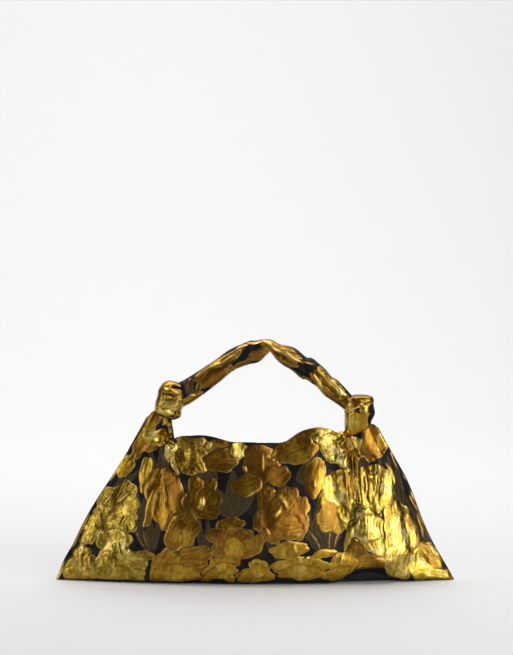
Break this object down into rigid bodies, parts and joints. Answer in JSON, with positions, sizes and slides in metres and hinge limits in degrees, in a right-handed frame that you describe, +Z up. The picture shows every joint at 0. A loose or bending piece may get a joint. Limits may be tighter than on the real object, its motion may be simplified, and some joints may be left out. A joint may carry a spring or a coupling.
{
  "type": "knotted shoulder bag",
  "caption": "Soft trapezoid evening bag in metallic floral jacquard, gathered at the upper corners into a short twisted handle with a knot at each end; open lined mouth.",
  "frame": {"origin": "on the floor under the middle of the base", "axes": "+X from the left lower corner to the right one, +Y from front to back, +Z up"},
  "size_m": [0.4, 0.0713, 0.2443],
  "materials": {
    "jacquard": "gold metallic floral jacquard on a black satin ground",
    "satin": "black satin lining",
    "snap": "polished pale brass"
  },
  "bodies": {
    "root": {"front_panel": "jacquard", "back_panel": "jacquard", "lining": "satin", "knotted_handle": "jacquard", "snap_stud": "snap", "snap_socket": "snap"}
  },
  "joints": []
}
